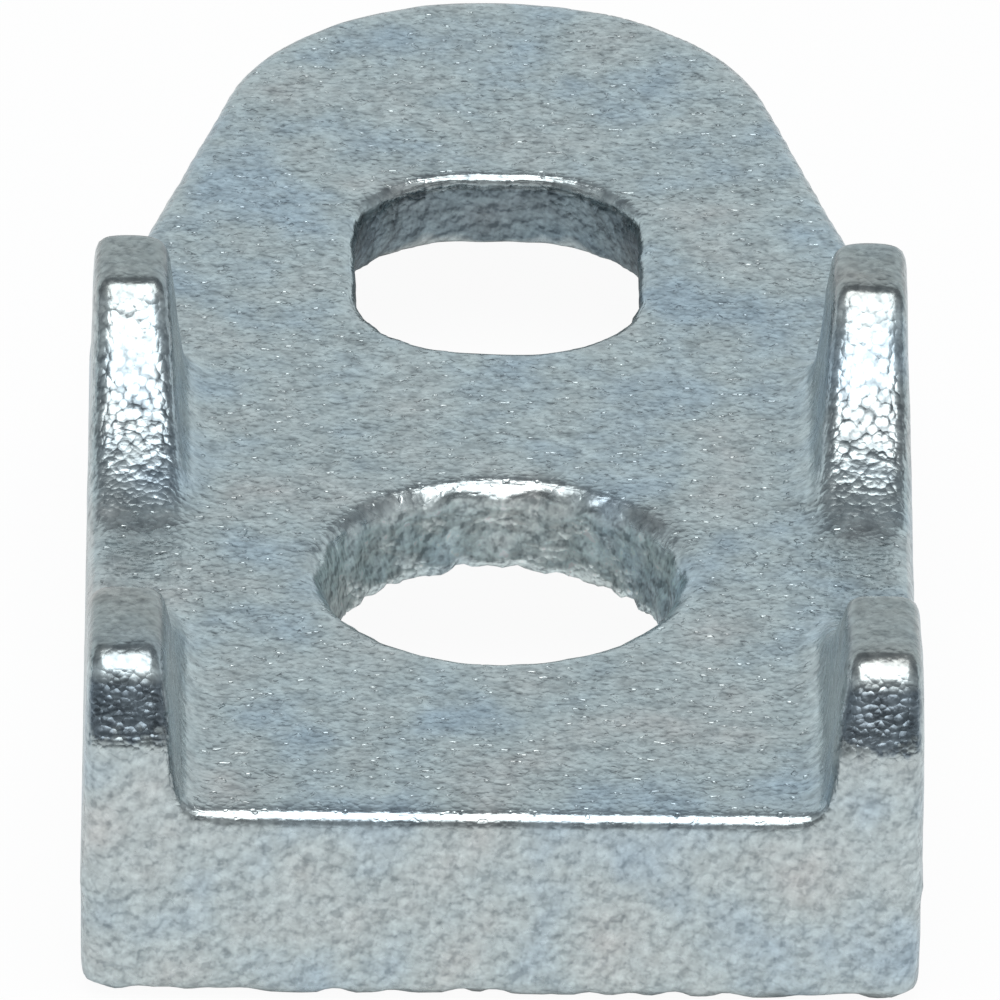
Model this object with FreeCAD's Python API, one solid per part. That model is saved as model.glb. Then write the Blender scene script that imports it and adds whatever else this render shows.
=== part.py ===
import FreeCAD, Part
import math
import os

from FreeCAD import Vector

# Clamp back for a one-hole conduit strap: one malleable iron casting.
# X runs across the width, Y from the front face to the tip of the tongue, and Z up.
# The origin is on the mounting face, at the middle of the casting.
# All sizes are millimetres, and all angles are degrees.

# Overall size, at the parting line of the mould
length = 54.0
width = 25.4
bed_height = 6.4
ear_rise = 4.7

# Walls of the casting
parting_height = 3.9
bed_thickness = 2.65
skirt_wall = 2.9
ear_thickness = 2.3

# Draft of the outer faces, the ears and the pocket under the bed
outer_draft = 1.0
ear_draft = 7.0
pocket_draft = 3.0

# Tongue: a taper that starts behind the ears and runs tangent into a round tip
tongue_radius = 8.85
neck_from_front = 31.6
neck_radius = 3.0

# Cradle for the conduit, cut into the ears
conduit_diameter = 23.4
saddle_clearance = 0.35
saddle_sink = 0.2
saddle_from_front = 15.65

# Ears, in side view
ear_back_from_front = 29.4
slope_foot_rise = 2.0
slope_angle = 58.0
slope_top_radius = 1.2
ear_corner_radius = 0.7

# Slot for the bolt of the strap
slot_width = 8.65
slot_length = 11.3
slot_from_tip = 18.2
slot_corner_radius = 3.65
slot_draft = 12.0

# Round hole under the conduit
seat_hole_diameter = 11.1
seat_hole_draft = 12.5

# Rounded edges and hollow corners
front_corner_radius = 0.7
edge_radius = 0.5
foot_edge_bevel = 0.45
slot_rim_bevel = 0.25
seat_rim_bevel = 0.35
root_radius = 0.8
pocket_corner_radius = 1.5
pocket_ceiling_radius = 1.0

# How far a cutting or joining solid runs past the face that it meets
overrun = 0.4

# Places that follow from the sizes
front_y = -length / 2
tip_centre_y = length / 2 - tongue_radius
neck_y = front_y + neck_from_front
saddle_y = front_y + saddle_from_front
ear_back_y = front_y + ear_back_from_front
slot_y = length / 2 - slot_from_tip
ear_top = bed_height + ear_rise
ceiling_height = bed_height - bed_thickness
saddle_radius = conduit_diameter / 2 + saddle_clearance
saddle_centre_height = bed_height - saddle_sink + saddle_radius

# Two directions are further apart than this at an edge that counts as sharp
sharp_turn = 20.0


def slant(rise, draft):
    """Sideways shift of a drafted face over a rise."""
    return rise * math.tan(math.radians(draft))


def taper_angle():
    """Angle between the side of the tongue and the length, from its tangent to the tip."""
    across = width / 2
    along = tip_centre_y - neck_y
    reach = math.hypot(across, along)
    return math.atan2(across, along) - math.asin(tongue_radius / reach)


def arc_edge(centre, radius, start, end):
    """Arc in plan about a centre, between two angles in radians."""
    angles = (start, (start + end) / 2, end)
    points = [centre + radius * Vector(math.cos(a), math.sin(a), 0) for a in angles]
    return Part.Arc(*points).toShape()


def joined_by_lines(arcs):
    """Closed wire of arcs, with a straight edge from each arc to the next."""
    edges = []
    for before, after in zip([arcs[-1]] + arcs[:-1], arcs):
        edges.append(Part.LineSegment(before.lastVertex().Point, after.firstVertex().Point).toShape())
        edges.append(after)
    return Part.Wire(edges)


def outline(height, inset, corner_radius, blend):
    """Plan outline of the casting at a height, set in from the parting line."""
    half = width / 2 - inset
    front = front_y + inset
    taper = taper_angle()
    tip_radius = tongue_radius - inset
    corner_y = tip_centre_y + (tip_radius - half * math.cos(taper)) / math.sin(taper)
    blend_y = corner_y - blend * math.tan(taper / 2)

    tip = Vector(0, tip_centre_y, height)
    right_corner = Vector(half - corner_radius, front + corner_radius, height)
    left_corner = Vector(-right_corner.x, right_corner.y, height)
    right_neck = Vector(half - blend, blend_y, height)
    left_neck = Vector(-right_neck.x, right_neck.y, height)

    arcs = [
        arc_edge(right_corner, corner_radius, -math.pi / 2, 0),
        arc_edge(right_neck, blend, 0, taper),
        arc_edge(tip, tip_radius, taper, math.pi - taper),
        arc_edge(left_neck, blend, math.pi - taper, math.pi),
        arc_edge(left_corner, corner_radius, math.pi, 1.5 * math.pi),
    ]
    return joined_by_lines(arcs)


def drafted_body(low, high, draft, inset, corner_radius, blend):
    """Solid between two outlines, set in by inset at the low one, whose walls lean inwards."""
    lean = slant(high - low, draft)
    bottom = outline(low, inset, corner_radius, blend)
    top = outline(high, inset + lean, corner_radius - lean, blend - lean)
    return Part.makeLoft([bottom, top], True, True)


def rounded_block(low_centre, high_centre, radius, low, high, draft):
    """Block with round upright edges about four corner centres, whose walls lean inwards."""
    def section(height):
        rounding = radius - slant(height - low, draft)
        corners = [
            (low_centre.x, high_centre.y, math.pi),
            (high_centre.x, high_centre.y, math.pi / 2),
            (high_centre.x, low_centre.y, 0),
            (low_centre.x, low_centre.y, -math.pi / 2),
        ]
        arcs = [arc_edge(Vector(x, y, height), rounding, angle, angle - math.pi / 2)
                for x, y, angle in corners]
        return joined_by_lines(arcs)

    return Part.makeLoft([section(low), section(high)], True, True)


def sharp_edges(solid, wanted):
    """Sharp edges of a solid that pass a test on their middle point."""
    found = []
    for edge in solid.Edges:
        middle = edge.valueAt((edge.FirstParameter + edge.LastParameter) / 2)
        faces = solid.ancestorsOfType(edge, Part.Face)
        if len(faces) != 2 or not wanted(edge, middle):
            continue
        normals = [face.normalAt(*face.Surface.parameter(middle)) for face in faces]
        if math.degrees(normals[0].getAngle(normals[1])) > sharp_turn:
            found.append(edge)
    return found


def is_level(edge, height):
    """Whether an edge lies flat at a height."""
    box = edge.BoundBox
    return abs(box.ZMin - height) < 0.001 and abs(box.ZMax - height) < 0.001


def upper_shell():
    """Drafted block above the parting line, as high as the ears."""
    return drafted_body(parting_height, ear_top, outer_draft, 0, front_corner_radius, neck_radius)


def skirt_half():
    """Drafted block below the parting line, with its lower edge bevelled."""
    block = drafted_body(parting_height, 0, -outer_draft, 0, front_corner_radius, neck_radius)
    rim = [edge for edge in block.Edges if is_level(edge, 0)]
    return block.makeChamfer(foot_edge_bevel, rim)


def pocket():
    """Hollow under the bed, with a rounded ceiling."""
    reach = slant(overrun, pocket_draft)
    hollow = drafted_body(-overrun, ceiling_height, pocket_draft, skirt_wall - reach,
                          pocket_corner_radius + reach, pocket_corner_radius + reach)
    rim = [edge for edge in hollow.Edges if is_level(edge, ceiling_height)]
    return hollow.makeFillet(pocket_ceiling_radius, rim)


def bolt_slot():
    """Slot in the tongue, long along the length, that widens towards the mounting face."""
    half_width = slot_width / 2 - slot_corner_radius
    half_length = slot_length / 2 - slot_corner_radius
    low_centre = Vector(-half_width, slot_y - half_length, 0)
    high_centre = Vector(half_width, slot_y + half_length, 0)
    low = ceiling_height - overrun
    low_radius = slot_corner_radius + slant(bed_height - low, slot_draft)
    return rounded_block(low_centre, high_centre, low_radius, low, bed_height + overrun, slot_draft)


def seat_hole():
    """Tapered round hole under the conduit."""
    low = ceiling_height - overrun
    high = bed_height + overrun
    low_radius = seat_hole_diameter / 2 - slant(bed_height - low, seat_hole_draft)
    high_radius = seat_hole_diameter / 2 + slant(high - bed_height, seat_hole_draft)
    return Part.makeCone(low_radius, high_radius, high - low, Vector(0, saddle_y, low))


def rim_edges(casting, centre_y, reach):
    """Upper edges of a hole, within reach of its centre."""
    centre = Vector(0, centre_y, bed_height)
    return [edge for edge in casting.Edges
            if is_level(edge, bed_height) and (edge.BoundBox.Center - centre).Length < reach]


def root_flare(shell):
    """Hollow corner where the right ears meet the bed, round their inner and back faces."""
    lean = math.radians(ear_draft)
    outer = width / 2 - slant(ear_top - parting_height, outer_draft)
    turn_radius = ear_corner_radius + slant(ear_rise, ear_draft)
    turn_centre = Vector(outer - ear_thickness + ear_corner_radius, ear_back_y - turn_radius, bed_height)
    foot = turn_centre.x - turn_radius
    turn = arc_edge(turn_centre, turn_radius, math.pi, math.pi / 2)
    start = Vector(foot, front_y - overrun, bed_height)
    end = Vector(width / 2 + overrun, ear_back_y, bed_height)
    path = Part.Wire([
        Part.LineSegment(start, turn.firstVertex().Point).toShape(),
        turn,
        Part.LineSegment(turn.lastVertex().Point, end).toShape(),
    ])

    reach = root_radius * math.tan((math.pi / 2 - lean) / 2)
    on_bed = start - Vector(reach, 0, 0)
    on_ear = start + reach * Vector(math.sin(lean), 0, math.cos(lean))
    centre = on_bed + Vector(0, 0, root_radius)
    bisector = (start - centre).normalize()
    middle = centre + root_radius * bisector
    in_ear = on_ear + Vector(overrun, 0, 0)
    below_ear = Vector(in_ear.x, in_ear.y, bed_height - overrun)
    below_bed = on_bed - Vector(0, 0, overrun)
    section = Part.Wire([
        Part.Arc(on_bed, middle, on_ear).toShape(),
        Part.LineSegment(on_ear, in_ear).toShape(),
        Part.LineSegment(in_ear, below_ear).toShape(),
        Part.LineSegment(below_ear, below_bed).toShape(),
        Part.LineSegment(below_bed, on_bed).toShape(),
    ])
    flare = path.makePipeShell([section], True, False)

    clear_radius = saddle_radius + edge_radius
    clear = Part.makeCylinder(clear_radius, width, Vector(0, saddle_y, saddle_centre_height), Vector(1, 0, 0))
    return flare.common(shell).cut(clear)


def bed_half(shell):
    """Bed and tongue above the parting line, with the upper edge rounded."""
    slab = Part.makeBox(2 * width, 2 * length, bed_height - parting_height)
    slab.translate(Vector(-width, -length, parting_height))
    block = shell.common(slab)
    rim = [edge for edge in block.Edges if is_level(edge, bed_height)]
    return block.makeFillet(edge_radius, rim)


def across_top(bar, y):
    """Edge that runs across the top of a bar at a distance along it."""
    return [edge for edge in bar.Edges
            if is_level(edge, ear_top) and edge.BoundBox.XLength > width
            and abs(edge.CenterOfMass.y - y) < 0.001]


def ear_side_shape():
    """Side view of the ears as a bar across the casting: slope, flat tops and saddle."""
    half_chord = math.sqrt(saddle_radius ** 2 - (saddle_centre_height - ear_top) ** 2)
    foot = bed_height + slope_foot_rise
    slope_run = (ear_top - foot) / math.tan(math.radians(slope_angle))
    front_of_bar = front_y - slope_run
    foot_of_bar = foot - (ear_top - foot)
    back_of_bar = ear_back_y + ear_thickness

    under = Vector(0, front_of_bar, parting_height)
    slope_low = Vector(0, front_of_bar, foot_of_bar)
    slope_high = Vector(0, front_y + slope_run, ear_top)
    saddle_front = Vector(0, saddle_y - half_chord, ear_top)
    saddle_low = Vector(0, saddle_y, saddle_centre_height - saddle_radius)
    saddle_back = Vector(0, saddle_y + half_chord, ear_top)
    top_back = Vector(0, back_of_bar, ear_top)
    under_back = Vector(0, back_of_bar, parting_height)

    edges = [
        Part.LineSegment(under, slope_low).toShape(),
        Part.LineSegment(slope_low, slope_high).toShape(),
        Part.LineSegment(slope_high, saddle_front).toShape(),
        Part.Arc(saddle_front, saddle_low, saddle_back).toShape(),
        Part.LineSegment(saddle_back, top_back).toShape(),
        Part.LineSegment(top_back, under_back).toShape(),
        Part.LineSegment(under_back, under).toShape(),
    ]
    side = Part.Face(Part.Wire(edges))
    side.translate(Vector(-width, 0, 0))
    bar = side.extrude(Vector(2 * width, 0, 0))
    saddle_ends = across_top(bar, saddle_front.y) + across_top(bar, saddle_back.y)
    bar = bar.makeFillet(ear_corner_radius, saddle_ends)
    return bar.makeFillet(slope_top_radius, across_top(bar, slope_high.y))


def cradle_block():
    """Drafted block of the cradle above the parting line, with the outer faces of the ears."""
    far = width / 2 - front_corner_radius
    low_centre = Vector(-far, front_y + front_corner_radius, 0)
    high_centre = Vector(far, neck_y + ear_thickness, 0)
    return rounded_block(low_centre, high_centre, front_corner_radius, parting_height, ear_top, outer_draft)


def ear_rail(side_shape):
    """Front and back ear of the right side, joined below the bed, with rounded edges."""
    outer = width / 2 - slant(ear_top - parting_height, outer_draft)
    inner = outer - ear_thickness + ear_corner_radius
    back = ear_back_y - slant(ear_rise, ear_draft) - ear_corner_radius
    low_radius = ear_corner_radius + slant(ear_top - parting_height, ear_draft)
    low_centre = Vector(inner, front_y - overrun, 0)
    high_centre = Vector(outer + overrun, back, 0)
    walls = rounded_block(low_centre, high_centre, low_radius, parting_height, ear_top, ear_draft)
    rail = walls.common(cradle_block()).common(side_shape)

    def above_bottom(edge, middle):
        return not is_level(edge, parting_height)

    return rail.makeFillet(edge_radius, sharp_edges(rail, above_bottom))


def build():
    """The whole casting as one solid."""
    shell = upper_shell()
    rail = ear_rail(ear_side_shape())
    flare = root_flare(shell)
    right_ears = [rail, flare]
    left_ears = [piece.mirror(Vector(0, 0, 0), Vector(1, 0, 0)) for piece in right_ears]
    casting = skirt_half().fuse([bed_half(shell)] + right_ears + left_ears).removeSplitter()
    casting = casting.cut([pocket(), bolt_slot(), seat_hole()])
    casting = casting.makeChamfer(slot_rim_bevel, rim_edges(casting, slot_y, slot_length / 2 + overrun))
    return casting.makeChamfer(seat_rim_bevel, rim_edges(casting, saddle_y, seat_hole_diameter / 2))


os.makedirs("parts", exist_ok=True)
clamp_back = build()
clamp_back.exportStep("parts/clamp_back.step")
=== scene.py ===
import math
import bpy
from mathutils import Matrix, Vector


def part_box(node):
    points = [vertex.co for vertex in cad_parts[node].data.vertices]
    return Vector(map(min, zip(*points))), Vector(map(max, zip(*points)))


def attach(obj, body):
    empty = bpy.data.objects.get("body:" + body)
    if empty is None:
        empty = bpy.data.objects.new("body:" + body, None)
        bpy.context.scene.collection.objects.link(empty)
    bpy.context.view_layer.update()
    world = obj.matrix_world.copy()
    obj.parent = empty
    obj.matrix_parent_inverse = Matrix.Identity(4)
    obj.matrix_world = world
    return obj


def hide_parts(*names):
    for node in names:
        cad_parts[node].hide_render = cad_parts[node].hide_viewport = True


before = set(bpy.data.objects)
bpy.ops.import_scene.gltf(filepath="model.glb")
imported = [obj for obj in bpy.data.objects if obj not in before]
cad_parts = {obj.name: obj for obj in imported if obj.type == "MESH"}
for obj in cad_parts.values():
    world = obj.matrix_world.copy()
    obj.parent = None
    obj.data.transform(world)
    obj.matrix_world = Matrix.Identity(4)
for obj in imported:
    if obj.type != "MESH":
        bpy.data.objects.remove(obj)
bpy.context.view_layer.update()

from types import SimpleNamespace

import bpy
import numpy as np
from mathutils import Matrix, Vector, noise

MM = 0.001

# Sizes of the casting that the skin follows
SEAM_HEIGHT = 3.9 * MM
BED_HEIGHT = 6.4 * MM
CEILING_HEIGHT = 3.75 * MM
SADDLE_Y = -11.35 * MM
SLOT_Y = 8.8 * MM
SEAT_REACH = 6.6 * MM
SLOT_REACH = 7.2 * MM
SEAT_WALL_RADIUS = 6.1 * MM
SLOT_WALL_RADIUS = 6.2 * MM

# Mesh of the casting
VOXEL = 0.235 * MM
SMOOTHING_ROUNDS = 4

# Noise that shapes the skin: the size of its features, their depth, and a shift of the noise
SWELL = (5.0 * MM, 0.05 * MM, 0.0)
GRAIN = (1.0 * MM, 0.024 * MM, 7.3)
WALL_GRAIN = (0.75 * MM, 0.15 * MM, 2.9)

# Share of the walls' grain: in the slot, and on a slope as a multiple of how upright it is
SLOT_WALL_SHARE = 0.45
UPRIGHT_GAIN = 2.0

# Patches of noise: the size of a patch, a shift of the noise, its middle value and its range
SEAM_PATCHES = (6.0 * MM, 3.1, 0.7, 0.6)
FOOT_PATCHES = (1.0 * MM, 5.7, 0.3, 1.3)
RIM_PATCHES = (0.75 * MM, 9.1, 0.3, 1.3)

# Seam of the mould, ragged foot and ragged lower rim of the seat hole
SEAM_WIDTH = 0.22 * MM
SEAM_DEPTH = 0.09 * MM
SEAM_UPRIGHT = 0.9
FOOT_HEIGHT = 0.55 * MM
FOOT_WAVE_DEPTH = 0.30 * MM
RIM_HEIGHT = 0.8 * MM
RIM_WAVE_DEPTH = 0.30 * MM
RIM_WAVE_DROP = 0.6

# Bump of the skin: features to the metre, and the share of each kind in the height
NOISE_MIDDLE = 0.5
SKIN_DEPTH = 0.000026
PEBBLE_SCALE = 4600.0
PEBBLE_WARP = 0.00010
PEBBLE_SHARE_ON_BED = 0.65
GRIT_SCALE = 2600.0
GRIT_DETAIL = 2.0
GRIT_ROUGHNESS = 0.6
GRIT_SHARE = 0.80
DENT_SCALE = 3000.0
DENT_DETAIL = 1.0
DENT_LEVELS = (0.71, 0.63)
LUMP_SCALE = 4000.0
LUMP_STRETCH = (1.0, 0.80, 0.80)
LUMP_SHARE = 2.3
LUMP_HEIGHTS = (7.9 * MM, 9.8 * MM)
LUMP_WEAK = 0.33
WORN_SKIN = 0.45
SLOPE_SKIN = 1.15
SLOPE_TOP_SKIN = 0.45

# Zones of the skin, each with the limit where it starts and the limit where it is complete.
# By height:
BELOW_EARS = (BED_HEIGHT + 0.3 * MM, BED_HEIGHT + 0.1 * MM)
ON_EARS = (BED_HEIGHT + 0.1 * MM, BED_HEIGHT + 0.6 * MM)
BELOW_RIM = (BED_HEIGHT - 0.2 * MM, BED_HEIGHT - 0.5 * MM)
WORN_TOPS = (10.55 * MM, 10.95 * MM)
SLOPE_FOOT = (8.7 * MM, 9.0 * MM)
SLOPE_FRAY = 1.6 * MM
SLOPE_TOP = (10.5 * MM, 10.2 * MM)
# By place from front to back:
IN_FRONT = (-24.2 * MM, -24.3 * MM)
# By how level the surface is, from nought on a wall to one on the bed:
SLOPING = (0.1, 0.3)
FAIRLY_LEVEL = (0.5, 0.8)
MOSTLY_LEVEL = (0.3, 0.8)
NOT_LEVEL = (0.97, 0.90)
# By how far it faces the back:
FORWARD = (-0.3, -0.6)
# By how far it faces away from the middle, times its distance from the middle:
INWARD = (-6.0 * MM, -9.0 * MM)
# By the distance past a hole's wall:
HOLE_FADE = 0.1 * MM

# Colours of the plating, and tints that its colour is multiplied by: some are its own tone, others
# painted shade and painted light
PATCH_SCALE = 260.0
PATCH_DETAIL = 3.0
ZINC_TONES = [
    (0.30, (0.440, 0.535, 0.600)),
    (0.48, (0.510, 0.575, 0.585)),
    (0.60, (0.530, 0.575, 0.575)),
    (0.74, (0.560, 0.570, 0.560)),
]
GRIT_TONES = [
    (0.32, (0.84, 0.84, 0.84)),
    (0.68, (1.12, 1.12, 1.12)),
]
# Painted shade in the crevices between pebbles, a little lighter on their middles
CREVICE_SHADE_TONES = [
    (0.60, (1.03, 1.03, 1.03)),
    (0.90, (0.80, 0.81, 0.82)),
]
# Painted shade in the creases between lumps on the saddle slopes, a little lighter on their middles
LUMP_SHADE_TONES = [
    (0.35, (1.06, 1.05, 1.04)),
    (0.50, (0.80, 0.80, 0.81)),
    (0.68, (0.30, 0.31, 0.33)),
]
# Painted light and shade of the grain: noise less the same noise a step away, lighter on one side of each
# grain and darker on the other, as if lit from one side
RELIEF_SCALE = 2500.0
RELIEF_STEP = (0.00004, 0.00006, -0.00009)
RELIEF_ON_LEVEL = 0.85
RELIEF_SHADING_TONES = [
    (0.36, (0.74, 0.75, 0.76)),
    (0.46, (0.98, 0.98, 0.98)),
    (0.64, (1.16, 1.16, 1.15)),
]
WORN_TONE = (0.74, 0.72, 0.70)
# Painted shade on the faces of the ears that face the middle
INNER_SHADE_TONE = (0.80, 0.80, 0.82)
# Painted shade on the front slopes of the front ears
SLOPE_SHADE_TONE = (0.40, 0.43, 0.48)
# Painted shade on the wall of the slot
SLOT_SHADE_TONE = (0.44, 0.50, 0.55)
# Painted light on the wall of the seat hole
SEAT_LIGHT_TONE = (1.34, 1.34, 1.33)

# Roughness of the plating
CLUMP_SCALE = 1400.0
CLUMP_LEVELS = (0.3, 0.7)
CLUMP_ROUGHNESS = (0.20, 0.34)
SEAT_ROUGHNESS = 0.38

# Camera
VIEW_HEIGHT = math.radians(28.42)
VIEW_TURN = math.radians(-0.775)
VIEW_ROLL = math.radians(1.02)
VIEW_DISTANCE = 800 * MM
VIEW_TARGET = Vector((0.038, -4.232, 5.0)) * MM
FOCAL_OVER_SENSOR = 25.934
NEAREST = 0.01
FARTHEST = 10.0

# Floor, lamp and studio, whose tones go from the back horizon over the top to the front one
FLOOR_SIZE = 40.0
FLOOR_COLOUR = (0.9, 0.9, 0.9)
FLOOR_GLOW = 0.95
FLOOR_GLOW_IN_METAL = 0.15
LAMP_PLACE = (0.0, -0.186, 0.5)
LAMP_SIZE = (0.45, 0.477)
LAMP_POWER = 1.9
STUDIO_TONES = [
    (0.00, (0.70, 0.765, 0.795)),
    (0.19, (0.70, 0.765, 0.795)),
    (0.25, (0.20, 0.22, 0.24)),
    (0.35, (0.20, 0.22, 0.24)),
    (0.72, (0.55, 0.58, 0.60)),
    (0.78, (0.10, 0.11, 0.12)),
    (0.84, (0.10, 0.11, 0.12)),
    (0.90, (0.50, 0.52, 0.53)),
    (0.95, (0.85, 0.87, 0.88)),
    (1.00, (0.85, 0.87, 0.88)),
]

# Sockets of a Mix node that mixes colours
MIX_FACTOR = 0
MIX_FIRST = 6
MIX_SECOND = 7
MIX_RESULT = 2


def linked(name, data):
    """New object of the scene."""
    thing = bpy.data.objects.new(name, data)
    bpy.context.scene.collection.objects.link(thing)
    return thing


def casting_mesh(source):
    """Dense even mesh of the casting, from the CAD node's shape."""
    copy = linked("dense", source.data.copy())
    remesh = copy.modifiers.new("even", "REMESH")
    remesh.mode = "VOXEL"
    remesh.voxel_size = VOXEL
    depsgraph = bpy.context.evaluated_depsgraph_get()
    mesh = bpy.data.meshes.new_from_object(copy.evaluated_get(depsgraph))
    bpy.data.objects.remove(copy)
    return mesh


def vectors(items, name):
    """Array with one named vector of each item."""
    values = np.zeros(len(items) * 3)
    items.foreach_get(name, values)
    return values.reshape(-1, 3)


def set_points(mesh, points):
    """Moves the mesh's vertices to new points."""
    mesh.vertices.foreach_set("co", points.astype(np.float32).ravel())
    mesh.update()


def smoothed(mesh):
    """Points moved towards the middle of their neighbours, which rounds the edges a little more."""
    points = vectors(mesh.vertices, "co")
    ends = np.zeros(len(mesh.edges) * 2, int)
    mesh.edges.foreach_get("vertices", ends)
    ends = ends.reshape(-1, 2)
    one_way = np.concatenate([ends[:, 0], ends[:, 1]])
    other_way = np.concatenate([ends[:, 1], ends[:, 0]])
    count = np.bincount(one_way, minlength=len(points))[:, None]
    for _ in range(SMOOTHING_ROUNDS):
        sums = [np.bincount(one_way, weights=column[other_way], minlength=len(points))
                for column in points.T]
        points = (points + np.stack(sums, axis=1) / count) / 2
    return points


def noise_at(points, size, shift):
    """Smooth noise between about -1 and 1 at each point."""
    return np.array([noise.noise(Vector(point)) for point in points / size + shift])


def relief_at(points, layer):
    """Height of one layer of the skin at each point."""
    size, depth, shift = layer
    return depth * noise_at(points, size, shift)


def patches_at(points, patches):
    """Soft patches between nought and one."""
    size, shift, middle, spread = patches
    return np.clip(middle + spread * noise_at(points, size, shift), 0, 1)


def in_hole(points, centre_y, reach):
    """Which points lie within reach of a hole's middle, below the top of the bed."""
    distance = np.hypot(points[:, 0], points[:, 1] - centre_y)
    return (distance < reach) & (points[:, 2] < BED_HEIGHT)


def seam_at(points, outward, upright):
    """Height of the seam that the mould leaves on the outer walls."""
    outer = (points * outward).sum(axis=1) > 0
    ridge = SEAM_DEPTH * np.exp(-((points[:, 2] - SEAM_HEIGHT) / SEAM_WIDTH) ** 2)
    return ridge * patches_at(points, SEAM_PATCHES) * (upright > SEAM_UPRIGHT) * outer


def roughen(mesh, low, high):
    """Gives the casting its swells, its pebbly grain, its seam and its ragged edges."""
    points = smoothed(mesh)
    set_points(mesh, points)
    outward = vectors(mesh.vertex_normals, "vector")
    upright = 1 - np.abs(outward[:, 2])
    in_seat = in_hole(points, SADDLE_Y, SEAT_REACH)
    in_slot = in_hole(points, SLOT_Y, SLOT_REACH)
    walls = np.clip(UPRIGHT_GAIN * upright, 0, 1) * (in_seat + SLOT_WALL_SHARE * in_slot)

    depth = relief_at(points, SWELL) + relief_at(points, GRAIN)
    depth += relief_at(points, WALL_GRAIN) * walls + seam_at(points, outward, upright)
    points = points + outward * depth[:, None]

    flat = points * np.array((1, 1, 0))
    near_foot = np.clip(1 - points[:, 2] / FOOT_HEIGHT, 0, 1)
    points[:, 2] += FOOT_WAVE_DEPTH * patches_at(flat, FOOT_PATCHES) * near_foot
    near_rim = in_seat * np.clip(1 - np.abs(points[:, 2] - CEILING_HEIGHT) / RIM_HEIGHT, 0, 1)
    points[:, 2] += RIM_WAVE_DEPTH * (patches_at(flat, RIM_PATCHES) - RIM_WAVE_DROP) * near_rim
    set_points(mesh, np.clip(points, np.array(low), np.array(high)))


class Graph:
    """Node tree with short calls, where a value is a number, a tuple or another node's output."""

    def __init__(self, tree):
        self.tree = tree

    def give(self, socket, value):
        """Sets an input, or links it to another node's output."""
        if isinstance(value, bpy.types.NodeSocket):
            self.tree.links.new(value, socket)
        elif socket.type == "RGBA":
            socket.default_value = (*value, 1)
        else:
            socket.default_value = value

    def node(self, kind, values=()):
        """New node with values for its named inputs."""
        node = self.tree.nodes.new(kind)
        for name, value in values:
            self.give(node.inputs[name], value)
        return node

    def worked_out(self, kind, operation, values):
        """Result of an operation on numbers or vectors."""
        node = self.tree.nodes.new(kind)
        node.operation = operation
        for socket, value in zip(node.inputs, values):
            self.give(socket, value)
        return node.outputs[0]

    def maths(self, operation, *values):
        """Result of an operation on numbers."""
        return self.worked_out("ShaderNodeMath", operation, values)

    def vector_maths(self, operation, *values):
        """Result of an operation on vectors."""
        return self.worked_out("ShaderNodeVectorMath", operation, values)

    def product(self, first, *others):
        """All values multiplied."""
        for other in others:
            first = self.maths("MULTIPLY", first, other)
        return first

    def axes(self, vector):
        """The three numbers of a vector."""
        return self.node("ShaderNodeSeparateXYZ", [("Vector", vector)]).outputs

    def fade(self, value, limits, ends=(0.0, 1.0)):
        """Number that goes evenly between two ends while the value goes between its limits."""
        names = ("Value", "From Min", "From Max", "To Min", "To Max")
        return self.node("ShaderNodeMapRange", zip(names, (value, *limits, *ends))).outputs["Result"]

    def shared(self, value, zone, share):
        """Value times a share inside a zone, and the same value outside it."""
        return self.product(value, self.fade(zone, (0.0, 1.0), (1.0, share)))

    def noise_texture(self, vector, scale, detail=2.0, roughness=0.5, output="Fac"):
        """Soft noise with a number of features to the metre."""
        values = [("Vector", vector), ("Scale", scale), ("Detail", detail), ("Roughness", roughness)]
        return self.node("ShaderNodeTexNoise", values).outputs[output]

    def cell_distance(self, vector, scale):
        """Distance from the middle of the nearest of many uneven cells."""
        cells = self.node("ShaderNodeTexVoronoi", [("Vector", vector), ("Scale", scale)])
        return cells.outputs["Distance"]

    def ramp(self, factor, stops):
        """Colour at a factor, from stops that each have a place and a colour."""
        node = self.node("ShaderNodeValToRGB", [("Fac", factor)])
        elements = node.color_ramp.elements
        for element, (position, colour) in zip(elements, (stops[0], stops[-1])):
            element.position = position
            element.color = (*colour, 1)
        for position, colour in stops[1:-1]:
            elements.new(position).color = (*colour, 1)
        return node.outputs["Color"]

    def tinted(self, colour, tint, share):
        """Colour multiplied by a tint, by as much as the share says."""
        node = self.tree.nodes.new("ShaderNodeMix")
        node.data_type = "RGBA"
        node.blend_type = "MULTIPLY"
        self.give(node.inputs[MIX_FACTOR], share)
        self.give(node.inputs[MIX_FIRST], colour)
        self.give(node.inputs[MIX_SECOND], tint)
        return node.outputs[MIX_RESULT]


def hole_wall(graph, position, centre_y, radius):
    """One on the wall of a hole of the bed, below its rim, and nought elsewhere."""
    along = graph.maths("SUBTRACT", position["Y"], centre_y)
    squares = graph.maths("ADD", graph.product(along, along), graph.product(position["X"], position["X"]))
    near = graph.fade(graph.maths("SQRT", squares), (radius + HOLE_FADE, radius))
    return graph.product(near, graph.fade(position["Z"], BELOW_RIM))


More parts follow.
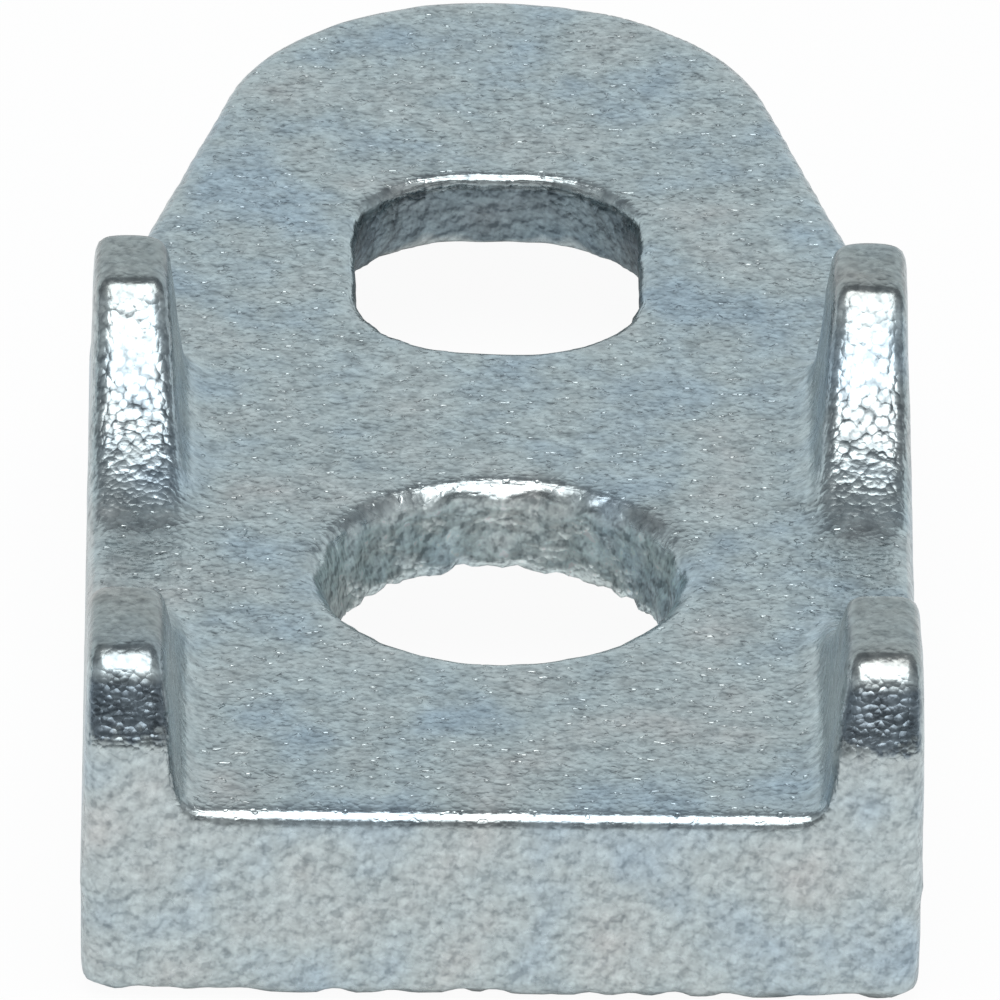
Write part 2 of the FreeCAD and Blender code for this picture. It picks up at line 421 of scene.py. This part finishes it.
def skin_zones(graph, place, direction, grit):
    """Zones of the casting, each a number from nought outside to one inside."""
    position = graph.axes(place)
    facing = graph.axes(direction)
    level = graph.maths("ABSOLUTE", facing["Z"])
    below_ears = graph.fade(position["Z"], BELOW_EARS)
    on_ears = graph.fade(position["Z"], ON_EARS)
    sloping = graph.fade(level, SLOPING)
    forward = graph.fade(facing["Y"], FORWARD)
    in_front = graph.fade(position["Y"], IN_FRONT)

    frayed = graph.product(graph.maths("SUBTRACT", grit, NOISE_MIDDLE), SLOPE_FRAY)
    above_foot = graph.fade(graph.maths("ADD", frayed, position["Z"]), SLOPE_FOOT)
    front_slope = graph.product(above_foot, in_front, forward)
    shaded = graph.product(front_slope, graph.fade(position["Z"], SLOPE_TOP))
    worn = graph.fade(position["Z"], WORN_TOPS)
    rounded = graph.product(graph.fade(level, NOT_LEVEL), sloping, below_ears)
    inward = graph.product(position["X"], facing["X"])
    return SimpleNamespace(
        level=level,
        bed=graph.product(below_ears, graph.fade(level, FAIRLY_LEVEL)),
        lumpy=graph.product(forward, on_ears, sloping, graph.maths("SUBTRACT", 1.0, in_front)),
        lump_strength=graph.fade(position["Z"], LUMP_HEIGHTS, (1.0, LUMP_WEAK)),
        shaded=shaded,
        bright=graph.maths("SUBTRACT", front_slope, shaded),
        worn=worn,
        rubbed=graph.maths("MAXIMUM", worn, rounded),
        # painted shade on the faces of the ears that face the middle
        inner=graph.product(graph.fade(inward, INWARD), on_ears),
        slot=hole_wall(graph, position, SLOT_Y, SLOT_WALL_RADIUS),
        seat=hole_wall(graph, position, SADDLE_Y, SEAT_WALL_RADIUS),
    )


def skin_height(graph, zones, place, grit, from_pebble, from_lump):
    """Height of the fine skin: grit with crevices between pebbles or lumps, and dents in the bed."""
    pebbles = graph.shared(graph.product(from_pebble, from_pebble), zones.bed, PEBBLE_SHARE_ON_BED)
    lumps = graph.product(from_lump, from_lump, zones.lump_strength, LUMP_SHARE)
    crevices = graph.maths("ADD", graph.product(pebbles, graph.maths("SUBTRACT", 1.0, zones.lumpy)),
                           graph.product(lumps, zones.lumpy))
    dents = graph.fade(graph.noise_texture(place, DENT_SCALE, DENT_DETAIL), DENT_LEVELS)
    height = graph.maths("SUBTRACT", graph.product(grit, GRIT_SHARE), crevices)
    height = graph.maths("ADD", height, graph.product(dents, zones.bed))
    height = graph.shared(height, zones.shaded, SLOPE_SKIN)
    height = graph.shared(height, zones.bright, SLOPE_TOP_SKIN)
    return graph.shared(height, zones.rubbed, WORN_SKIN)


def painted_relief_shading(graph, warped):
    """Painted light and shade: a tint that is lighter on one side of each grain and darker on its other
    side, as if lit from one side.
    """
    here = graph.noise_texture(warped, RELIEF_SCALE)
    beside = graph.noise_texture(graph.vector_maths("ADD", warped, RELIEF_STEP), RELIEF_SCALE)
    relief_shading = graph.maths("ADD", graph.maths("SUBTRACT", here, beside), NOISE_MIDDLE)
    return graph.ramp(relief_shading, RELIEF_SHADING_TONES)


def plating_colour(graph, zones, place, warped, grit, from_pebble, from_lump):
    """Colour of the zinc: soft patches and grain of its own tone, painted shade in the crevices, painted
    light and shade on the grain, and the tints of the zones, among them painted shade and painted light.
    """
    # painted light and shade of the grain
    relief_shading = painted_relief_shading(graph, warped)
    # where the painted shade between lumps shows
    lump_shade_share = graph.product(zones.lumpy, zones.lump_strength)
    tints = [
        (graph.ramp(grit, GRIT_TONES), 1.0),
        # painted shade in the crevices between pebbles
        (graph.ramp(from_pebble, CREVICE_SHADE_TONES), 1.0),
        # painted light and shade of the grain, weaker on level ground
        (relief_shading, graph.fade(zones.level, MOSTLY_LEVEL, (1.0, RELIEF_ON_LEVEL))),
        # painted shade in the creases between lumps
        (graph.ramp(from_lump, LUMP_SHADE_TONES), lump_shade_share),
        (WORN_TONE, zones.worn),
        # painted shade on the faces of the ears that face the middle
        (INNER_SHADE_TONE, zones.inner),
        # painted shade on the front slopes of the front ears
        (SLOPE_SHADE_TONE, zones.shaded),
        # painted light and shade of the grain on the walls of both holes
        (relief_shading, graph.maths("MAXIMUM", zones.slot, zones.seat)),
        # painted shade on the wall of the slot
        (SLOT_SHADE_TONE, zones.slot),
        # painted light on the wall of the seat hole
        (SEAT_LIGHT_TONE, zones.seat),
    ]
    colour = graph.ramp(graph.noise_texture(place, PATCH_SCALE, PATCH_DETAIL), ZINC_TONES)
    for tint, share in tints:
        colour = graph.tinted(colour, tint, share)
    return colour


def zinc_material():
    """Zinc plate on a pebbly iron casting."""
    material = bpy.data.materials.new("zinc_plated_casting")
    material.use_nodes = True
    graph = Graph(material.node_tree)
    graph.tree.nodes.clear()
    coordinates = graph.node("ShaderNodeTexCoord").outputs
    place = coordinates["Object"]

    warp = graph.noise_texture(place, GRIT_SCALE, detail=0.0, output="Color")
    warped = graph.vector_maths("MULTIPLY_ADD", warp, (PEBBLE_WARP, PEBBLE_WARP, PEBBLE_WARP), place)
    grit = graph.noise_texture(place, GRIT_SCALE, GRIT_DETAIL, GRIT_ROUGHNESS)
    from_pebble = graph.cell_distance(warped, PEBBLE_SCALE)
    from_lump = graph.cell_distance(graph.vector_maths("MULTIPLY", warped, LUMP_STRETCH), LUMP_SCALE)
    zones = skin_zones(graph, place, coordinates["Normal"], grit)

    height = skin_height(graph, zones, place, grit, from_pebble, from_lump)
    bump = graph.node("ShaderNodeBump", [("Distance", SKIN_DEPTH), ("Height", height)])
    clumps = graph.fade(graph.noise_texture(place, CLUMP_SCALE), CLUMP_LEVELS, CLUMP_ROUGHNESS)
    shader = graph.node("ShaderNodeBsdfPrincipled", [
        ("Metallic", 1.0),
        ("Base Color", plating_colour(graph, zones, place, warped, grit, from_pebble, from_lump)),
        ("Roughness", graph.maths("MAXIMUM", clumps, graph.product(zones.seat, SEAT_ROUGHNESS))),
        ("Normal", bump.outputs["Normal"]),
    ])
    graph.node("ShaderNodeOutputMaterial", [("Surface", shader.outputs["BSDF"])])
    return material


def floor_piece():
    """Pale floor that shows white to the camera and to the metal, with a soft shadow."""
    bpy.ops.mesh.primitive_plane_add(size=FLOOR_SIZE)
    floor = bpy.context.object
    floor.name = "floor"
    material = bpy.data.materials.new("pale_floor")
    material.use_nodes = True
    material.cycles.emission_sampling = "NONE"
    graph = Graph(material.node_tree)
    graph.tree.nodes.clear()
    path = graph.node("ShaderNodeLightPath").outputs
    mirrored = graph.maths("MAXIMUM", path["Is Glossy Ray"], path["Is Transmission Ray"])
    seen = graph.product(path["Is Camera Ray"], FLOOR_GLOW)
    share = graph.maths("ADD", seen, graph.product(mirrored, FLOOR_GLOW_IN_METAL))
    lit = graph.node("ShaderNodeBsdfDiffuse", [("Color", FLOOR_COLOUR)])
    white = graph.node("ShaderNodeEmission")
    mixed = graph.node("ShaderNodeMixShader", [("Fac", share)])
    graph.give(mixed.inputs[1], lit.outputs[0])
    graph.give(mixed.inputs[2], white.outputs[0])
    graph.node("ShaderNodeOutputMaterial", [("Surface", mixed.outputs[0])])
    floor.data.materials.append(material)


def studio():
    """Lamp overhead in a grey studio, which is pale at both horizons and dark above the camera."""
    light = bpy.data.lights.new("top_box", "AREA")
    light.shape = "RECTANGLE"
    light.size, light.size_y = LAMP_SIZE
    light.energy = LAMP_POWER
    linked("top_box", light).location = LAMP_PLACE

    world = bpy.data.worlds.new("studio")
    bpy.context.scene.world = world
    world.use_nodes = True
    graph = Graph(world.node_tree)
    direction = graph.axes(graph.node("ShaderNodeTexCoord").outputs["Generated"])
    turn = graph.maths("DIVIDE", graph.maths("ARCTAN2", direction["Z"], direction["Y"]), math.pi)
    background = graph.tree.nodes["Background"]
    graph.give(background.inputs["Color"], graph.ramp(turn, STUDIO_TONES))


def camera():
    """Camera at its height, turn and roll, looking at the casting."""
    towards = Vector((math.sin(VIEW_TURN) * math.cos(VIEW_HEIGHT),
                      -math.cos(VIEW_TURN) * math.cos(VIEW_HEIGHT),
                      math.sin(VIEW_HEIGHT)))
    across = Vector((0, 0, 1)).cross(towards).normalized()
    upward = towards.cross(across)
    right = math.cos(VIEW_ROLL) * across + math.sin(VIEW_ROLL) * upward
    turned = Matrix((right, towards.cross(right), towards)).transposed().to_4x4()
    data = bpy.data.cameras.new("camera")
    data.lens = data.sensor_width * FOCAL_OVER_SENSOR
    data.clip_start = NEAREST
    data.clip_end = FARTHEST
    view = linked("camera", data)
    view.matrix_world = Matrix.Translation(VIEW_TARGET + VIEW_DISTANCE * towards) @ turned
    bpy.context.scene.camera = view


low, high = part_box("clamp_back")
dense = casting_mesh(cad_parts["clamp_back"])
roughen(dense, low, high)
dense.shade_smooth()
dense.materials.clear()
dense.materials.append(zinc_material())
casting = linked("casting", dense)
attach(casting, "root")
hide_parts("clamp_back")

floor_piece()
camera()
studio()
bpy.context.scene.view_settings.view_transform = "Standard"
